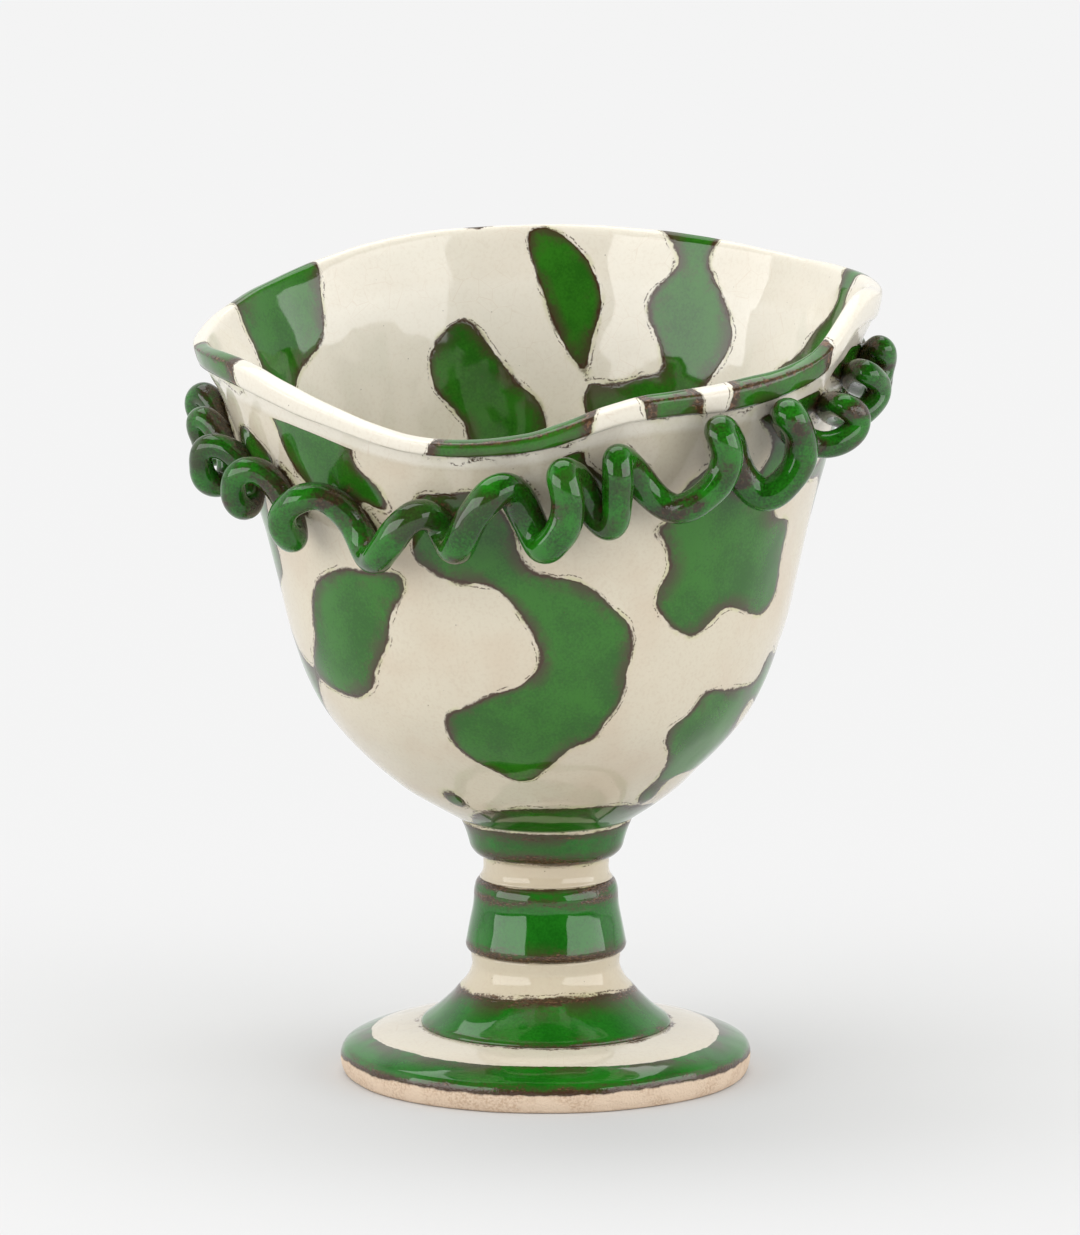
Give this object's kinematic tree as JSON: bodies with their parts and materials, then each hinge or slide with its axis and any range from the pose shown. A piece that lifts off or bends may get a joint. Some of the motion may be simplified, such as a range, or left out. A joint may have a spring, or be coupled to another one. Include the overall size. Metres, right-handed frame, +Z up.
{
  "type": "goblet",
  "caption": "Hand-built pottery goblet: wide bowl with a pulled wavy mouth and a corkscrew rope of clay round it, on a stem of thrown sections and a hollow foot.",
  "frame": {"origin": "on the table plane under the stem's axis, at the middle of the foot", "axes": "+Z up along the stem, -Y towards the side with the lowest lip, +X towards the higher of the two pinched corners of the mouth"},
  "size_m": [0.1424, 0.1352, 0.1634],
  "materials": {
    "bowl_glaze": "glossy cream glaze with green patches, brown edge lines and fine crackle",
    "stem_glaze": "glossy green and cream glaze bands, bare buff clay at the foot's edge",
    "rope_glaze": "thick glossy green glaze with brown specks"
  },
  "bodies": {
    "root": {"foot": "stem_glaze", "pedestal": "stem_glaze", "drum": "stem_glaze", "collar": "stem_glaze", "bowl": "bowl_glaze", "rope_length_1": "rope_glaze", "rope_length_2": "rope_glaze", "rope_length_3": "rope_glaze", "rope_length_4": "rope_glaze", "rope_length_5": "rope_glaze"}
  },
  "joints": []
}
